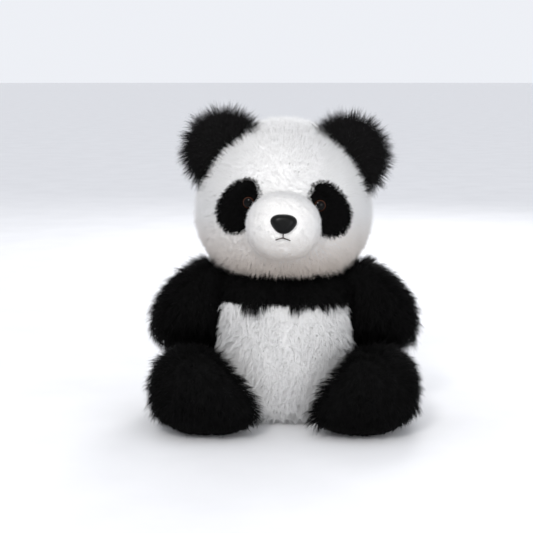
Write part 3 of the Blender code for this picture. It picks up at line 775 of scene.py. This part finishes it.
def yoke_style(roots, outward):
    """Combed down and outwards, short against the arms, none at the neck."""
    x, y, z = roots.T
    around = unit(np.stack([x * 2.0, y, z * 0], axis=1))
    comb = DOWN + around * 0.5
    low = 1 - smooth_step(z, YOKE_SEAM + 2 * MM, YOKE_SEAM + 12 * MM)
    tufts = np.clip(0.8 + 0.7 * low * waves(roots, 0.022, 43), 0.4, 1.4)
    length = (14.0 + 3.0 * low) * MM * tufts
    sideways = smooth_step(np.abs(outward[:, 0]), 0.75, 0.97)
    by_arm = 1 - smooth_step(np.abs(y - ARM_MIDDLE), 0.028, 0.038)
    length *= 1 - 0.75 * sideways * by_arm
    return np.where(np.hypot(x, y) < 0.03, 0, length), comb, 0.55 - 0.05 * low


def fringe_style(roots, outward):
    """The yoke's lowest rows: tufts that hang over the belly's white, with gaps between them."""
    x, y, z = roots.T
    comb = DOWN + np.stack([x * 3.0 + 0.35 * waves(roots, 0.03, 41), y * 0, y * 0], axis=1)
    low = 1 - smooth_step(z, YOKE_SEAM + 3 * MM, YOKE_SEAM + 9 * MM)
    tufts = np.clip(0.5 + 0.8 * waves(roots, 0.024, 43), 0.05, 1.25)
    by_arm = 1 - smooth_step(np.abs(y - ARM_MIDDLE), 0.028, 0.038)
    sideways = smooth_step(np.abs(outward[:, 0]), 0.75, 0.97) * by_arm
    length = 23.0 * MM * tufts * (1 - 0.7 * sideways)
    return np.where(low > 0.2, length, 0), comb, 0.60 + 0.1 * low


def arm_style(roots, outward):
    """Longest at the elbow's outer side, short where the arm meets the body."""
    x, y = np.abs(roots[:, 0]), roots[:, 1]
    side = np.sign(roots[:, 0])
    inwards = (x - 0.100) * 7
    comb = DOWN + np.stack([side * inwards, (y - ARM_MIDDLE) * 4, y * 0], axis=1)
    facing_in = smooth_step(-outward[:, 0] * side, 0.70, 0.95)
    corner = smooth_step(-outward[:, 2], 0.1, 0.5) * smooth_step(outward[:, 0] * side, 0.0, 0.5)
    length = (14.0 + 4.0 * corner) * MM * (1 - 0.75 * facing_in)
    return length, comb, 0.50 + 0.25 * facing_in


def leg_style(roots, outward):
    """Spreads from the knee; short beneath, on top and where the thigh meets the body."""
    y, z = roots[:, 1], roots[:, 2]
    side = np.sign(roots[:, 0])
    knee = np.stack([side * 0.092, y * 0 - 0.100, y * 0 + 0.066], axis=1)
    low = 1 - smooth_step(z, 4 * MM, 34 * MM)
    comb = unit(roots - knee) * 0.8 + DOWN * (0.6 * (1 - low))[:, None]
    thigh = smooth_step(y, -0.084, -0.070)
    facing_in = smooth_step(-outward[:, 0] * side, 0.70, 0.95) * thigh
    under = smooth_step(-outward[:, 2], 0.1, 0.9)
    on_top = smooth_step(outward[:, 2], 0.6, 0.95) * thigh
    length = 13.0 * MM * (1 - 0.75 * facing_in) * (1 - 0.78 * under) * (1 - 0.3 * on_top)
    return length, comb, 0.48 + 0.25 * facing_in + 0.2 * under


def tail_style(roots, outward):
    comb = np.tile(DOWN + np.array([0, 0.5, 0]), (len(roots), 1))
    gone = torso_share(roots) < 1.0
    return np.where(gone, 0, 11.0 * MM), comb, np.full(len(roots), 0.45)


# ---------------------------------------------------------------- pieces

def dress(made, body, slot, *nodes):
    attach(made, body)
    if nodes:
        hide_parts(*nodes)


def turned_form(profile, segments):
    """Points and faces of revolution about Z from (radius, height) rows."""
    rings = []
    for radius, height in profile:
        angle = np.arange(segments) * 2 * pi / segments
        x, y, z = radius * np.cos(angle), radius * np.sin(angle), angle * 0 + height
        rings.append(np.stack([x, y, z], axis=1))
    return lofted(rings)


def stood(points, place, direction):
    turn = np.array(Vector(direction).to_track_quat("Z", "Y").to_matrix())
    return points @ turn.T + np.array(place)


def make_eye(side, word, material):
    """A domed safety eye, its rim pressed into the patch."""
    x, z = side * EYE_AT[0], EYE_AT[1]
    place = Vector((x, float(head_front(np.array([x]), np.array([z]))[0]), z))
    outward = Vector((side * 0.16, -1, 0.02)).normalized()
    profile, ring = [], []
    for i in range(25):
        angle = radians(90) * i / 24
        profile.append((EYE_RADIUS * max(sin(angle), 0.01), 0.8 * MM + 4.2 * MM * cos(angle)))
        ring.append(sin(angle))
    for radius, height in ((0.985, 0.2), (0.93, -0.4), (0.6, -1.2), (0.3, -1.6)):
        profile.append((EYE_RADIUS * radius, height * MM))
        ring.append(1.0)
    points, faces = turned_form(profile, 48)
    points = stood(points, place - outward * 0.2 * MM, outward)
    made = new_object(f"{word}_eye_dome", tilted(points), faces, material)
    rings = np.concatenate([np.repeat(ring, 48), [0.0, 1.0]])
    made.data.attributes.new("ring", "FLOAT", "POINT").data.foreach_set("value", rings)
    dress(made, "head", "eye_plastic", f"{word}_eye")


def make_patch(side, word, material):
    """The black patch of short pile round an eye, laid on the head."""
    rings = []
    steps = 22
    for r in range(steps + 1):
        share = 1 - r / steps * 0.98
        ring = []
        for i in range(80):
            angle = 2 * pi * i / 80
            along = PATCH_HALF[0] * share * cos(angle)
            across = PATCH_HALF[1] * share * sin(angle) * (1 + PATCH_EGG * cos(angle))
            x = PATCH_CENTRE[0] + along * cos(PATCH_SLANT) - across * sin(PATCH_SLANT)
            z = PATCH_CENTRE[1] + along * sin(PATCH_SLANT) + across * cos(PATCH_SLANT)
            lift = 1.5 * MM * (1 - share ** 14) - 0.4 * MM
            y = float(head_front(np.array([x]), np.array([z]))[0]) - lift
            ring.append((side * x, y, z))
        rings.append(ring)
    points, faces = lofted(rings, closed_start=False)
    made = new_object(f"{word}_patch_skin", tilted(points), faces, material)
    if made.data.polygons[len(made.data.polygons) // 2].normal.y > 0:
        made.data.flip_normals()
    dress(made, "head", "black_fur", f"{word}_eye_patch")
    return made


def make_nose(surface, material):
    """A domed, rounded triangle, point down, its rim turned in behind."""
    place = surface.ray_cast(Vector((0, -1, NOSE_AT)), Vector((0, 1, 0)))[0]
    rise = Vector((0, -1, 0.16)).normalized()
    rings = []
    steps, round_count = 26, 72
    for r in range(steps + 1):
        t = r / steps * 0.99
        share = cos(t * pi / 2) ** 0.55
        lift = sin(t * pi / 2)
        ring = []
        for i in range(round_count):
            angle = 2 * pi * i / round_count
            shape = 1 + 0.075 * cos(3 * (angle + pi / 2))
            ring.append((
                NOSE_HALF[0] * share * shape * cos(angle),
                NOSE_HALF[1] * share * shape * sin(angle),
                NOSE_DEPTH * lift - 0.6 * MM,
            ))
        rings.append(ring)
    rings.insert(0, [(x * 0.9, y * 0.9, z - 1.5 * MM) for x, y, z in rings[0]])
    points, faces = lofted(rings)
    made = new_object("nose_button", tilted(stood(points, place, rise)), faces, material)
    dress(made, "head", "nose_plastic", "nose")


def tube_rings(route, radius, segments, twist=0.0):
    """Rings of a two-ply thread along a route, thinner at its far end."""
    rings = []
    for i, point in enumerate(route):
        before, after = route[max(i - 1, 0)], route[min(i + 1, len(route) - 1)]
        turn = (after - before).to_track_quat("Z", "Y")
        ends = min(1.0, 0.6 + (len(route) - 1 - i) * 0.2)
        ring = []
        for j in range(segments):
            angle = 2 * pi * j / segments
            ply = 1 + 0.09 * cos(2 * angle + twist * i)
            out = Vector((cos(angle), sin(angle), 0)) * radius * ply * ends
            ring.append(point + turn @ out)
        rings.append(ring)
    return rings


def make_mouth(surface, material):
    """Embroidered mouth: a short drop under the nose that forks to both sides."""
    fork = NOSE_AT - NOSE_HALF[1] - MOUTH_DROP
    routes = [[(0, fork + MOUTH_DROP * 1.3 * i / 16) for i in range(17)]]
    for side in (1, -1):
        route = []
        for i in range(25):
            t = i / 24
            route.append((side * MOUTH_HALF * t, fork - 2.6 * MM * t ** 1.3))
        routes.append(route)
    points, faces = [], []
    for route in routes:
        on_skin = [surface.ray_cast(Vector((x, -1, z)), Vector((0, 1, 0)))[0] for x, z in route]
        on_skin = [p + Vector((0, -2.3 * MM, 0)) for p in on_skin]
        more_points, more_faces = lofted(tube_rings(on_skin, THREAD, 12, 0.7))
        first = sum(len(p) for p in points)
        points.append(more_points)
        faces += [tuple(first + c for c in face) for face in more_faces]
    made = new_object("mouth_stitch", tilted(np.concatenate(points)), faces, material)
    dress(made, "head", "mouth_thread", "mouth")


def make_head(look):
    points, faces = head_form()
    skin = new_object("head_cover", tilted(points), faces, look["white_skin"])
    dress(skin, "head", "white_fur", "head_skin")
    coat("head_fur", shape_of(skin), head_style, "head", look["face_fur"],
         count=104_000, width=0.38 * MM, seed=1, steps=2, per_clump=5,
         pull=0.09, turn=0.28, uneven=0.22, sag=0.1, soft=0.93)
    points, faces = muzzle_form()
    share = head_share(points)
    points = np.where((share < 0.95)[:, None], seated(points, share, 0.95), points)
    surface = BVHTree.FromPolygons([Vector(p) for p in points], [list(f) for f in faces])
    muzzle = new_object("muzzle_cover", tilted(points), faces, look["muzzle_skin"])
    dress(muzzle, "head", "white_fur", "muzzle_skin")
    coat("muzzle_fur", shape_of(muzzle), muzzle_style, "head", look["muzzle_fur"],
         count=30_000, width=0.30 * MM, seed=2, steps=2, per_clump=5,
         pull=0.12, turn=0.4, uneven=0.35, sag=0.05, soft=0.8)
    for side, word in SIDES:
        patch = make_patch(side, word, look["black_skin"])
        coat(f"{word}_patch_fur", shape_of(patch), patch_style, "head", look["patch_fur"],
             count=10_000, width=0.40 * MM, seed=3, steps=2, per_clump=8,
             pull=0.35, turn=0.5, sag=0.1)
        make_eye(side, word, look["eye"])
        out, up = EAR_OUT * cos(EAR_ANGLE), EAR_OUT * sin(EAR_ANGLE)
        centre = Vector((side * out, EAR_BACK, HEAD_MIDDLE + up))
        points, faces = ellipsoid_form(centre, (EAR_RADIUS, EAR_THICK, EAR_RADIUS), 80, 30)
        points = seated(points, head_share(points))
        ear = new_object(f"{word}_ear_cover", tilted(points), faces, look["black_skin"])
        dress(ear, "head", "black_fur", f"{word}_ear_skin")
        coat(f"{word}_ear_fur", shape_of(ear), ear_style, "head", look["ear_fur"],
             count=22_000, width=0.26 * MM, seed=5 + side, steps=3, per_clump=7,
             pull=0.25, turn=0.45, uneven=0.6, sag=0.12)
    make_nose(surface, look["nose"])
    make_mouth(surface, look["thread"])


def make_torso(look):
    points, faces = torso_form(0.0, YOKE_SEAM)
    body = new_object("body_cover", points, faces, look["white_skin"])
    walled(body, 1.6 * MM)
    dress(body, "torso", "white_fur", "body_skin")
    coat("body_fur", shape_of(body), belly_style, "torso", look["white_fur"],
         count=56_000, width=0.36 * MM, seed=11, steps=3, per_clump=9,
         pull=0.18, wave=0.35, turn=0.32, uneven=0.24, soft=0.94)
    points, faces = torso_form(YOKE_SEAM, 1.0)
    yoke = new_object("shoulder_cover", points, faces, look["black_skin"])
    walled(yoke, 1.6 * MM)
    dress(yoke, "torso", "black_fur", "shoulder_skin")
    coat("shoulder_fur", shape_of(yoke), yoke_style, "torso", look["black_fur"],
         count=18_000, width=0.48 * MM, seed=12, steps=3, per_clump=20,
         pull=0.5, turn=0.42, uneven=0.45, sag=0.35)
    coat("shoulder_fringe", shape_of(yoke), fringe_style, "torso", look["black_fur"],
         count=44_000, width=0.44 * MM, seed=14, steps=3, per_clump=34,
         pull=0.6, turn=0.3, uneven=0.3, sag=0.25)
    points, faces = ellipsoid_form(TAIL_AT, TAIL_HALF, 50, 30)
    tail = new_object("tail_cover", seated(points, torso_share(points), 0.97), faces, look["white_skin"])
    dress(tail, "torso", "white_fur", "tail_skin")
    coat("tail_fur", shape_of(tail), tail_style, "torso", look["white_fur"],
         count=3_500, width=0.6 * MM, seed=13, steps=3, per_clump=12,
         pull=0.5)


def make_limbs(look):
    # Name, form, style, number of strands, seed
    kinds = (
        ("arm", arm_form(), arm_style, 17_000, 21),
        ("leg", leg_form(), leg_style, 24_000, 31),
    )
    for side, word in SIDES:
        for name, form, style, count, seed in kinds:
            body = f"{word}_{name}"
            points, faces = form if side > 0 else mirrored(form)
            limb = new_object(f"{body}_cover", points, faces, look["black_skin"])
            lumpy(limb, 0.045, 1.0 * MM, seed + side)
            dress(limb, body, "black_fur", f"{body}_skin")
            coat(f"{body}_fur", shape_of(limb), style, body, look["black_fur"],
                 count=count, width=0.44 * MM, seed=seed + side, steps=3, per_clump=13,
                 pull=0.48, turn=0.4, uneven=0.42)


def finish_inner_nodes(frame, look):
    """The stuffing, pellet bag, joint discs and washers keep their CAD shapes, in better materials."""
    for name, node in frame["nodes"].items():
        if name.endswith("_stuffing"):
            chosen = look["stuffing"]
        elif name == "pellet_bag":
            chosen = look["pellets"]
        elif name.endswith(("_disc", "_washer")):
            chosen = look["joint"]
        else:
            continue
        node.data.materials.clear()
        node.data.materials.append(chosen)


def make_looks():
    # white_pile and face_pile are the same white plush. white_pile, on the belly and tail, is a little
    # darker, as painted shade for the belly, which takes less light than the face.
    white = fur_material(
        "white_pile", (0.91, 0.905, 0.895), (0.955, 0.952, 0.945), (0.975, 0.973, 0.968),
        grey(0.97), grey(1.0), 0.8, 0.2, 0.15,
    )
    # face_pile carries a warm painted shade that deepens down the lower cheeks and chin.
    face = fur_material(
        "face_pile", (0.935, 0.93, 0.925), (0.97, 0.968, 0.964), (0.985, 0.984, 0.98),
        grey(0.98), grey(1.0), 0.8, 0.2, 0.15, painted_shade=((0.90, 0.775, 0.665), 0.158, 0.236),
    )
    # white_velour carries a warm painted shade over the lower half of the muzzle.
    muzzle = fur_material(
        "white_velour", (0.86, 0.855, 0.845), (0.925, 0.92, 0.912), (0.95, 0.946, 0.938),
        grey(0.95), grey(1.0), 0.9, 0.05, 0.06, painted_shade=((0.93, 0.85, 0.78), 0.190, 0.228),
    )
    black = fur_material(
        "black_pile", grey(0.0007), grey(0.0013), (0.0040, 0.0036, 0.0037),
        grey(0.4), grey(1.8), 0.55, 0.0, 0.055,
    )
    patch = fur_material(
        "black_velour", grey(0.0012), grey(0.0024), (0.0050, 0.0046, 0.0047),
        grey(0.5), grey(1.6), 0.6, 0.0, 0.06,
    )
    ear = fur_material(
        "black_fringe", grey(0.0012), grey(0.0032), (0.0120, 0.0110, 0.0113),
        grey(0.45), grey(1.7), 0.55, 0.0, 0.08,
    )
    return {
        "white_fur": white,
        "face_fur": face,
        "muzzle_fur": muzzle,
        "black_fur": black,
        "patch_fur": patch,
        "ear_fur": ear,
        "white_skin": skin_material("white_backing", (0.90, 0.895, 0.885), (0.95, 0.947, 0.94)),
        "muzzle_skin": skin_material("muzzle_backing", (0.80, 0.78, 0.76), (0.89, 0.88, 0.86)),
        "black_skin": skin_material("black_backing", grey(0.001), grey(0.003), sheen=0.0),
        "stuffing": stuffing_material("polyester_fill", (0.74, 0.74, 0.72), (0.93, 0.93, 0.91)),
        "pellets": woven_material("pellet_cloth", (0.62, 0.60, 0.55), (0.80, 0.78, 0.73)),
        "joint": moulded_material("joint_nylon", (0.72, 0.71, 0.67), (0.83, 0.82, 0.78), 0.35, 0.5),
        "nose": moulded_material("nose_satin", grey(0.0022), grey(0.0036), 0.30, 0.40, specular=0.14),
        "eye": eye_material(),
        "thread": thread_material(),
    }


# ---------------------------------------------------------------- stage, light and camera

def area_light(name, place, target, size, power, colour=(1, 1, 1)):
    light = bpy.data.lights.new(name, "AREA")
    light.shape = "DISK"
    light.size = size
    light.energy = power
    light.color = colour
    made = bpy.data.objects.new(name, light)
    made.location = place
    made.rotation_mode = "QUATERNION"
    made.rotation_quaternion = (Vector(target) - Vector(place)).to_track_quat("-Z", "Y")
    bpy.context.scene.collection.objects.link(made)


def make_floor():
    n = Nodes("pale_floor")
    n.link(n.ramp(n.noise(9, 4), (0.3, (0.80, 0.80, 0.81)), (0.7, (0.84, 0.84, 0.85))), "Base Color")
    n.set(Roughness=0.85)
    count, reach = 64, 60.0
    edge = [(reach * cos(2 * pi * i / count), reach * sin(2 * pi * i / count), 0) for i in range(count)]
    floor = new_object("floor", edge, [tuple(range(count))], n.material)


def make_light():
    world = bpy.data.worlds.new("studio")
    world.use_nodes = True
    sky = world.node_tree.nodes["Background"]
    sky.inputs["Color"].default_value = (0.93, 0.95, 1.0, 1)
    sky.inputs["Strength"].default_value = 0.92
    bpy.context.scene.world = world
    target = (0, 0, 0.17)
    area_light("key", (-0.45, -1.6, 1.35), target, 0.45, 15, (1.0, 0.985, 0.965))
    area_light("fill", (1.0, -1.7, 0.5), target, 0.9, 7, (0.98, 0.99, 1.0))
    area_light("rim", (0.4, 1.6, 1.3), target, 0.9, 14)


def make_camera():
    camera = bpy.data.objects.new("camera", bpy.data.cameras.new("camera"))
    rise, distance, target = radians(9), 1.45, Vector((0, 0, 0.165))
    back = Vector((0, -cos(rise), sin(rise)))
    camera.location = target + back * distance
    camera.rotation_mode = "QUATERNION"
    camera.rotation_quaternion = (-back).to_track_quat("-Z", "Y")
    camera.data.lens = 83.7
    camera.data.shift_x = -0.034
    camera.data.shift_y = 0.0084
    bpy.context.scene.collection.objects.link(camera)
    bpy.context.scene.camera = camera


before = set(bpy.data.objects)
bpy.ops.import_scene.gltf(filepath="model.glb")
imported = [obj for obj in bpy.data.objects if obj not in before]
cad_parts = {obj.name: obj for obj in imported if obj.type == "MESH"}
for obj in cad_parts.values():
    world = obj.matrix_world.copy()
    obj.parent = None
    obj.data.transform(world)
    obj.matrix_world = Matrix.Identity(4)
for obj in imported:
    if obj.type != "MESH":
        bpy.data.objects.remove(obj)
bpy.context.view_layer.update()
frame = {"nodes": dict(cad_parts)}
bpy.context.scene.view_settings.view_transform = "Standard"
make_camera()
make_floor()
make_light()
looks = make_looks()
make_torso(looks)
make_head(looks)
make_limbs(looks)
finish_inner_nodes(frame, looks)
